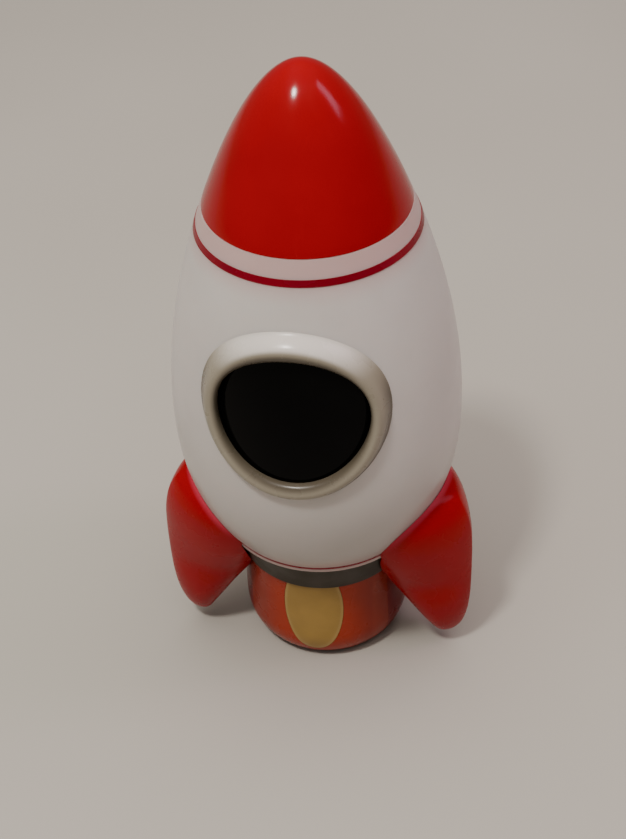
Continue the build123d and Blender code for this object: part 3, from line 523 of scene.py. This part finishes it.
def rim_plastic(colours):
    """The porthole rim: warm grey, with painted shade in its throat and along its lower outer edge, and a
    painted highlight on top where it runs into the body.
    """
    grey = tuple(colours.rim)
    finish = Finish("rim_grey", grey, 0.28)
    rise = finish.math("SUBTRACT", finish.axis("Z"), PORTHOLE_HEIGHT)
    distance = finish.length(finish.axis("X"), rise)
    clouds = finish.spread(finish.noise(60.0, 4.0), 0.3, 0.7, 0.0, 1.0)
    tone = finish.mix(clouds, shade(grey, 0.94), shade(grey, 1.05))
    # painted shade: dark in the throat, and along the outer edge at the sides and below
    throat = finish.spread(distance, 0.0188, 0.0207, 0.9, 0.0)
    skirt = finish.math(
        "MULTIPLY",
        finish.spread(distance, 0.0219, 0.0235, 0.0, 0.8),
        finish.spread(rise, 0.004, 0.014, 1.0, 0.0),
    )
    tone = finish.mix(finish.math("MAXIMUM", throat, skirt), tone, (0.07, 0.055, 0.036))
    # painted highlight: the rim's top, beyond its crest, is made pale where the light falls
    crown = finish.spread(rise, 0.011, 0.0205, 0.0, 0.9)
    past_crest = finish.spread(distance, 0.0203, 0.0214, 0.0, 1.0)
    finish.colour(finish.mix(finish.math("MULTIPLY", crown, past_crest), tone, (0.68, 0.63, 0.58)))
    finish.roughness(finish.spread(finish.noise(130.0, 5.0), 0.35, 0.7, 0.24, 0.36))
    finish.bump(finish.noise(900.0, 3.0), 0.00001)
    return finish.set(Specular_IOR_Level=0.4)


def smoked_window(colours):
    """Near-black glossy window with a few small pale specks."""
    black = tuple(colours.window)
    finish = Finish("smoked_window", black, 0.06)
    # a few small pale specks scattered over the black
    pale_specks = finish.spread(finish.noise(1500.0, 2.0), 0.78, 0.82, 0.0, 0.35)
    haze = finish.spread(finish.noise(60.0, 4.0), 0.35, 0.75, 0.0, 0.004)
    finish.colour(finish.mix(finish.math("ADD", pale_specks, haze), black, (0.12, 0.12, 0.12)))
    finish.roughness(finish.spread(finish.noise(140.0, 6.0), 0.3, 0.7, 0.04, 0.12))
    finish.bump(finish.noise(300.0, 2.0), 0.000008, 0.2)
    return finish.set(Specular_IOR_Level=0.06)


def flame_paint(name, colour, edge_colour, streaks, glow=0.0):
    """Painted flame colour with brushed upright streaks, warmer towards the petal."""
    finish = Finish(name, colour, 0.32)
    upright = finish.noise(220.0, 4.0, (1, 1, 0.08), 0.6)
    tone = finish.mix(finish.spread(upright, 0.35, 0.7, 0.0, streaks), shade(colour, 0.92), edge_colour)
    clouds = finish.spread(finish.noise(60.0, 4.0), 0.3, 0.7, 0.0, 0.3)
    tone = finish.mix(clouds, tone, shade(colour, 1.12))
    middle = finish.spread(finish.math("ABSOLUTE", finish.axis("X")), 0.0085, 0.0165, glow, 0.0)
    finish.colour(finish.mix(middle, tone, (0.37, 0.03, 0.006)))
    finish.roughness(finish.spread(finish.noise(150.0, 5.0), 0.35, 0.7, 0.26, 0.4))
    finish.bump(finish.noise(1100.0, 3.0), 0.00002)
    return finish.set(Specular_IOR_Level=0.22)


def petal_paint(colours):
    """The yellow petal, paler along its outline."""
    yellow = tuple(colours.yellow)
    finish = Finish("petal_yellow", yellow, 0.32)
    across = finish.math("DIVIDE", finish.axis("X"), PETAL_HALF_WIDTH)
    rise = finish.math("SUBTRACT", finish.axis("Z"), PETAL_MIDDLE)
    along = finish.math("DIVIDE", rise, PETAL_HALF_HEIGHT)
    edge = finish.spread(finish.length(across, along), 0.87, 0.97, 0.0, 0.45)
    clouds = finish.spread(finish.noise(90.0, 5.0), 0.3, 0.7, 0.0, 1.0)
    tone = finish.mix(clouds, shade(yellow, 0.9), shade(yellow, 1.08))
    finish.colour(finish.mix(edge, tone, (0.46, 0.31, 0.12)))
    finish.roughness(finish.spread(finish.noise(150.0, 5.0), 0.35, 0.7, 0.28, 0.42))
    finish.bump(finish.noise(1100.0, 3.0), 0.00002)
    return finish.set(Specular_IOR_Level=0.25)


def bare_metal(name, colour, rough, stretch=(1, 1, 1)):
    """Plated metal with a fine drawn grain and slight tarnish."""
    finish = Finish(name, colour, rough)
    tarnish = finish.spread(finish.noise(500.0, 5.0), 0.35, 0.75, 0.0, 0.5)
    finish.colour(finish.mix(tarnish, colour, shade(colour, 0.7)))
    finish.roughness(finish.spread(finish.noise(1200.0, 4.0, stretch), 0.3, 0.7, rough, rough + 0.18))
    finish.bump(finish.noise(3000.0, 2.0, stretch), 0.000008)
    return finish.set(Metallic=1.0)


def cell_sleeve():
    """A battery's shrink sleeve: a dark barrel with a plain copper-coloured band above."""
    finish = Finish("cell_sleeve", (0.05, 0.06, 0.08), 0.25)
    band = finish.spread(finish.axis("Z"), CELL_BAND_HEIGHT, CELL_BAND_HEIGHT + 0.3 * MM, 0.0, 1.0)
    barrel = finish.mix(band, (0.035, 0.04, 0.05), (0.42, 0.2, 0.08))
    wear = finish.spread(finish.noise(400.0, 5.0), 0.4, 0.75, 0.0, 0.25)
    finish.colour(finish.mix(wear, barrel, (0.25, 0.25, 0.26)))
    finish.roughness(finish.spread(finish.noise(200.0, 4.0), 0.3, 0.7, 0.2, 0.34))
    finish.bump(finish.noise(900.0, 3.0), 0.00001)
    return finish.set(Coat_Weight=0.4)


def circuit_board():
    """Green board with fine darker tracks."""
    finish = Finish("board_green", (0.02, 0.14, 0.06), 0.35)
    tracks = finish.spread(finish.noise(600.0, 2.0, (1, 0.2, 1), 0.4), 0.48, 0.54, 0.0, 1.0)
    finish.colour(finish.mix(tracks, (0.02, 0.14, 0.06), (0.05, 0.24, 0.11)))
    finish.roughness(finish.spread(finish.noise(300.0, 4.0), 0.3, 0.7, 0.28, 0.42))
    finish.bump(tracks, 0.00003)
    return finish.set(Coat_Weight=0.3)


def make_finishes():
    """All finishes, by the record's slot names."""
    colours = bpy.context.scene.rocket_colours
    red = tuple(colours.red)
    return {
        "red_gloss": moulded(
            "nose_red", red, 0.13, 0.2, 0.00001, 260.0, 0.05, Specular_IOR_Level=0.28
        ),
        "red_satin": fin_plastic(red),
        "trim_red": moulded(
            "trim_red", tuple(colours.trim), 0.24, 0.34, 0.00001, Specular_IOR_Level=0.22
        ),
        "milky_shell": milky_plastic(colours),
        "bezel_grey": rim_plastic(colours),
        "smoked_window": smoked_window(colours),
        "inner_black": moulded("inner_black", (0.03, 0.03, 0.03), 0.45, 0.6),
        "collar_grey": moulded(
            "collar_grey", tuple(colours.collar), 0.34, 0.5, 0.00002, 1200.0, 0.12, Specular_IOR_Level=0.22
        ),
        "base_red": flame_paint("base_red", tuple(colours.base), (0.25, 0.012, 0.006), 0.6),
        "flame_orange": flame_paint(
            "flame_orange", tuple(colours.orange), (0.34, 0.04, 0.01), 0.4, glow=0.8
        ),
        "flame_yellow": petal_paint(colours),
        "door_red": moulded("door_red", (0.2, 0.012, 0.012), 0.45, 0.6, 0.00004, 1500.0),
        "box_grey": moulded("box_grey", (0.3, 0.3, 0.31), 0.45, 0.6, 0.00003),
        "cell_sleeve": cell_sleeve(),
        "contact_steel": bare_metal("contact_steel", (0.72, 0.71, 0.69), 0.18),
        "board_green": circuit_board(),
        "led_clear": moulded("lamp_clear", (0.85, 0.83, 0.76), 0.08, 0.14, Coat_Weight=0.6),
        "lead_red": moulded("lead_red", (0.5, 0.02, 0.02), 0.4, 0.55),
        "lead_black": moulded("lead_black", (0.02, 0.02, 0.02), 0.4, 0.55),
        "screw_steel": bare_metal("screw_steel", (0.6, 0.6, 0.59), 0.26, (1, 1, 4)),
    }


FINISHES = {}


# ---------------------------------------------------------------- operators
class ROCKET_OT_finishes(bpy.types.Operator):
    """Makes every finish and puts it on the CAD nodes"""

    bl_idname = "rocket.finishes"
    bl_label = "Finishes"

    def execute(self, context):
        FINISHES.update({slot: finish.material for slot, finish in make_finishes().items()})
        for row in frame["record"]["subparts"]:
            mesh = NODES[row["node"]].data
            mesh.materials.clear()
            mesh.materials.append(FINISHES[row["material_slot"]])
        return {"FINISHED"}


class ROCKET_OT_nose(bpy.types.Operator):
    """Turns the red nose with its wall and seat"""

    bl_idname = "rocket.nose"
    bl_label = "Nose"

    def execute(self, context):
        neck = context.scene.rocket_sizes.neck_radius
        seat = NOSE_HIGH.z - NOSE_HEIGHT

        def outline(share, inset, top):
            return ((neck - inset) * share**NOSE_FULLNESS, seat + (top - seat) * (1 - share**2))

        spigot = neck - NOSE_WALL - 0.1 * MM
        inner_top = NOSE_HIGH.z - NOSE_TIP_WALL
        section = [
            (spigot - NOSE_SPIGOT_WALL, seat - NOSE_SPIGOT),
            (spigot, seat - NOSE_SPIGOT),
            (spigot, seat + SEAT_CLEARANCE),
            (neck - NOSE_SEAT_ROUND, seat + SEAT_CLEARANCE),
            (neck - NOSE_SEAT_ROUND * 0.3, seat + NOSE_SEAT_ROUND * 0.3),
        ]
        section += [outline(share, 0.0, NOSE_HIGH.z) for share in steps(0.985, 0.02, 46)]
        section += [(NOSE_POLE, NOSE_HIGH.z), (NOSE_POLE, inner_top)]
        section += [outline(share, NOSE_WALL, inner_top) for share in steps(0.03, 0.93, 24)]
        piece = turned("nose_shell", section, 160)
        place(piece, FINISHES["red_gloss"], "red_gloss", "nose_cap")
        return {"FINISHED"}


def envelope(gap):
    """The solid round space that the fins stand clear of."""
    straight = COLLAR_LOW_RADIUS + gap
    top = BODY_LOW.z + CUTTER_RISE
    section = [(CUTTER_AXIS, CUTTER_LOW), (straight, CUTTER_LOW), (straight, COLLAR_LOW.z)]
    for height in steps(BODY_LOW.z, top, 40):
        section.append((max(body_radius(height), LIP_RADIUS + LIP_CLEARANCE) + gap, height))
    section.append((CUTTER_AXIS, top))
    return turned("fin_cutter", section)


class ROCKET_OT_fins(bpy.types.Operator):
    """Models one fin from its tip to its top, cuts it to the body and copies it round"""

    bl_idname = "rocket.fins"
    bl_label = "Fins"

    def execute(self, context):
        sizes = context.scene.rocket_sizes
        reach = REAR_FIN_HIGH.y - FIN_REACH_TRIM
        low, high = REAR_FIN_LOW.z, REAR_FIN_HIGH.z
        columns = list(zip(*FIN_STATIONS))
        rings = []
        for place_on_fin in steps(0.0, len(FIN_STATIONS) - 1, FIN_RINGS):
            share, inner, outer, width = (between(column, place_on_fin) for column in columns)
            rings.append((low + share * (high - low), reach - inner * MM, reach - outer * MM, width))
        clear_selection()
        bpy.ops.mesh.primitive_circle_add(vertices=96, radius=1.0, fill_type="NOTHING")
        fin = bpy.context.object
        fin.name = "fin"
        for vertex in fin.data.vertices:
            along = (vertex.co.x + 1) / 2
            across = 0.0
            if 0 < along < 1:
                across = FIN_PLAN_SCALE * sqrt(along) * (1 - along) ** FIN_PLAN_TAPER
            vertex.co = (along, copysign(across, vertex.co.y), 0)
        open_for_edit(fin)
        height, near, far, width = rings[0]
        bpy.ops.transform.resize(
            value=(far - near, sizes.fin_half_width * width, 1), center_override=(0, 0, 0)
        )
        bpy.ops.transform.translate(value=(near, 0, height))
        bpy.ops.mesh.edge_face_add()
        for next_height, next_near, next_far, next_width in rings[1:]:
            bpy.ops.mesh.extrude_region_move(
                TRANSFORM_OT_translate={"value": (next_near - near, 0, next_height - height)}
            )
            bpy.ops.transform.resize(
                value=((next_far - next_near) / (far - near), next_width / width, 1),
                center_override=(next_near, 0, next_height),
            )
            height, near, far, width = next_height, next_near, next_far, next_width
        settle(fin, 50.0)
        round_edges(fin, FIN_EDGE_ROUND, 50)
        cut_away(fin, envelope(sizes.fin_gap))
        settle(fin, 40.0)
        for name, azimuth in FIN_AZIMUTHS.items():
            piece = fin.copy()
            piece.data = fin.data.copy()
            piece.name = name + "_petal"
            context.scene.collection.objects.link(piece)
            piece.rotation_euler = (0, 0, radians(azimuth - 90))
            only(piece)
            bpy.ops.object.transform_apply(location=True, rotation=True, scale=True)
            place(piece, FINISHES["red_satin"], "red_satin", name)
        bpy.data.objects.remove(fin, do_unlink=True)
        return {"FINISHED"}


def wrap_on_body(ring):
    """Bends a flat ring, lying in the XZ plane, onto the body: its Y is its depth off the surface.

    The opening is a little wider than it is tall and flatter on top, where the bead stands prouder.
    """
    inner = RIM_SECTION[0][0] * MM
    for vertex in ring.data.vertices:
        x, depth, z = vertex.co
        distance = hypot(x, z)
        sideways, upward = x / distance, z / distance
        fade = max(0.0, (RIM_OUTER - distance) / (RIM_OUTER - inner))
        distance += fade * (RIM_WIDENING * sideways**2 - RIM_FLATTENING * max(upward, 0.0) ** 2)
        if depth < 0:
            depth *= 1 + RIM_LEAN * upward
        x, z = distance * sideways, PORTHOLE_HEIGHT + distance * upward
        radius = body_radius(z) - depth
        vertex.co = (x, -sqrt(radius * radius - x * x), z)


class ROCKET_OT_porthole(bpy.types.Operator):
    """Models the rounded rim of the porthole, wrapped on the body"""

    bl_idname = "rocket.porthole"
    bl_label = "Porthole rim"

    def execute(self, context):
        section = [(radius * MM, -rise * MM) for radius, rise in RIM_SECTION]
        rim = turned("porthole_rim", section, 180)
        only(rim)
        rim.rotation_euler = (-pi / 2, 0, 0)
        bpy.ops.object.transform_apply(location=True, rotation=True, scale=True)
        wrap_on_body(rim)
        settle(rim, 40.0)
        place(rim, FINISHES["bezel_grey"], "bezel_grey", "porthole_bezel")
        return {"FINISHED"}


class ROCKET_OT_mouth(bpy.types.Operator):
    """Turns the pale lip at the foot of the body and the red line above it"""

    bl_idname = "rocket.mouth"
    bl_label = "Mouth lip and line"

    def execute(self, context):
        low = BODY_LOW.z
        foot = low + SEAT_CLEARANCE
        split = low + LIP_HEIGHT
        lip_section = [
            (LIP_BORE, foot),
            (LIP_RADIUS - 0.3 * MM, foot),
            (LIP_RADIUS - 0.08 * MM, low + 0.12 * MM),
            (LIP_RADIUS, low + 0.35 * MM),
            (LIP_RADIUS, split),
            (LIP_BORE, split),
        ]
        place(turned("mouth_lip", lip_section), FINISHES["milky_shell"], "milky_shell")
        top = low + LINE_TOP
        line_section = [
            (LINE_BORE, split),
            (LIP_RADIUS, split),
            (LIP_RADIUS + 0.08 * MM, split + 0.3 * MM),
            (body_radius(top) + 0.05 * MM, top),
            (LINE_BORE, top),
        ]
        line = turned("mouth_line", line_section)
        place(line, FINISHES["trim_red"], "trim_red", "mouth_trim_ring")
        return {"FINISHED"}


class ROCKET_OT_collar(bpy.types.Operator):
    """Turns the collar with soft edges"""

    bl_idname = "rocket.collar"
    bl_label = "Collar"

    def execute(self, context):
        low, high = COLLAR_LOW.z, COLLAR_HIGH.z
        top = COLLAR_HIGH.x
        section = [(COLLAR_BORE, low), (COLLAR_LOW_RADIUS, low), (top, high), (COLLAR_BORE, high)]
        piece = turned("collar_skirt", section)
        round_edges(piece, context.scene.rocket_sizes.edge_round, 40)
        settle(piece, 35.0)
        place(piece, FINISHES["collar_grey"], "collar_grey", "collar_ring")
        return {"FINISHED"}


def area_light(name, place_at, size, power, colour, size_y=None):
    """A soft square lamp, or a rectangular one, aimed at the rocket's middle."""
    aim = Vector((0, 0, 0.09))
    data = bpy.data.lights.new(name, "AREA")
    data.energy = power
    data.color = colour
    data.size = size
    if size_y is not None:
        data.shape = "RECTANGLE"
        data.size_y = size_y
    lamp = bpy.data.objects.new(name, data)
    lamp.location = place_at
    lamp.rotation_mode = "QUATERNION"
    lamp.rotation_quaternion = (aim - Vector(place_at)).to_track_quat("-Z", "Y")
    bpy.context.scene.collection.objects.link(lamp)
    return lamp


class ROCKET_OT_stage(bpy.types.Operator):
    """Makes the pale floor, the soft lights and the camera"""

    bl_idname = "rocket.stage"
    bl_label = "Stage"

    def execute(self, context):
        clear_selection()
        bpy.ops.mesh.primitive_plane_add(size=6.0)
        floor = context.object
        floor.name = "studio_floor"
        paper = Finish("floor_paper", (0.41, 0.38, 0.33), 0.85)
        clouds = paper.spread(paper.noise(4.0, 2.0), 0.3, 0.7, 0.0, 1.0)
        paper.colour(paper.mix(clouds, (0.405, 0.375, 0.33), (0.435, 0.405, 0.36)))
        floor.data.materials.append(paper.material)

        world = bpy.data.worlds.new("studio_air")
        context.scene.world = world
        world.use_nodes = True
        background = world.node_tree.nodes["Background"]
        background.inputs["Color"].default_value = (1.0, 0.95, 0.88, 1)
        background.inputs["Strength"].default_value = 0.16

        area_light("key_lamp", (-0.2, -0.42, 1.05), 0.11, 7.0, (1.0, 0.96, 0.9))
        area_light("side_lamp", (0.75, 0.1, 0.8), 0.2, 1.6, (1.0, 0.6, 0.85), 0.5)
        sky = area_light("sky_lamp", (0.0, 0.1, 1.5), 1.8, 26.0, (1.0, 0.96, 0.9))
        sky.visible_glossy = False
        fill = area_light("fill_lamp", (-0.7, -0.9, 0.8), 0.9, 1.2, (1.0, 0.97, 0.92))
        fill.visible_glossy = False

        view = context.scene.rocket_view
        level = cos(view.elevation)
        back = Vector((sin(view.azimuth) * level, -cos(view.azimuth) * level, sin(view.elevation)))
        forward = -back
        right = forward.cross(Vector((0, 0, 1))).normalized()
        up = right.cross(forward)
        turn = Quaternion(up, view.yaw)
        forward, right = turn @ forward, turn @ right
        turn = Quaternion(right, view.pitch)
        forward, up = turn @ forward, turn @ up
        turn = Quaternion(forward, view.roll)
        right, up = turn @ right, turn @ up
        data = bpy.data.cameras.new("view_camera")
        data.lens = view.lens
        data.sensor_width = 36.0
        data.clip_start = 0.01
        camera = bpy.data.objects.new("view_camera", data)
        stand = Matrix.Translation(Vector((0, 0, view.aim_height)) + back * view.distance)
        camera.matrix_world = stand @ Matrix((right, up, -forward)).transposed().to_4x4()
        context.scene.collection.objects.link(camera)
        context.scene.camera = camera
        return {"FINISHED"}


OPERATORS = (
    ROCKET_OT_stage,
    ROCKET_OT_finishes,
    ROCKET_OT_nose,
    ROCKET_OT_fins,
    ROCKET_OT_porthole,
    ROCKET_OT_mouth,
    ROCKET_OT_collar,
)


class ROCKET_PT_panel(bpy.types.Panel):
    """Lists the settings and the steps"""

    bl_label = "Rocket night light"
    bl_idname = "ROCKET_PT_panel"
    bl_space_type = "VIEW_3D"
    bl_region_type = "UI"
    bl_category = "Rocket"

    def draw(self, context):
        scene = context.scene
        for group in (scene.rocket_sizes, scene.rocket_colours, scene.rocket_view):
            column = self.layout.column()
            for key in group.bl_rna.properties.keys():
                if key not in ("rna_type", "name"):
                    column.prop(group, key)
        for operator in OPERATORS:
            self.layout.operator(operator.bl_idname)


CLASSES = (RocketSizes, RocketColours, RocketView, *OPERATORS, ROCKET_PT_panel)


def register():
    for cls in CLASSES:
        bpy.utils.register_class(cls)
    bpy.types.Scene.rocket_sizes = PointerProperty(type=RocketSizes)
    bpy.types.Scene.rocket_colours = PointerProperty(type=RocketColours)
    bpy.types.Scene.rocket_view = PointerProperty(type=RocketView)


def unregister():
    del bpy.types.Scene.rocket_view
    del bpy.types.Scene.rocket_colours
    del bpy.types.Scene.rocket_sizes
    for cls in reversed(CLASSES):
        bpy.utils.unregister_class(cls)


def main():
    register()
    bpy.ops.rocket.stage()
    bpy.ops.rocket.finishes()
    bpy.ops.rocket.nose()
    bpy.ops.rocket.fins()
    bpy.ops.rocket.porthole()
    bpy.ops.rocket.mouth()
    bpy.ops.rocket.collar()
    clear_selection()


if __name__ == "__main__":
    main()
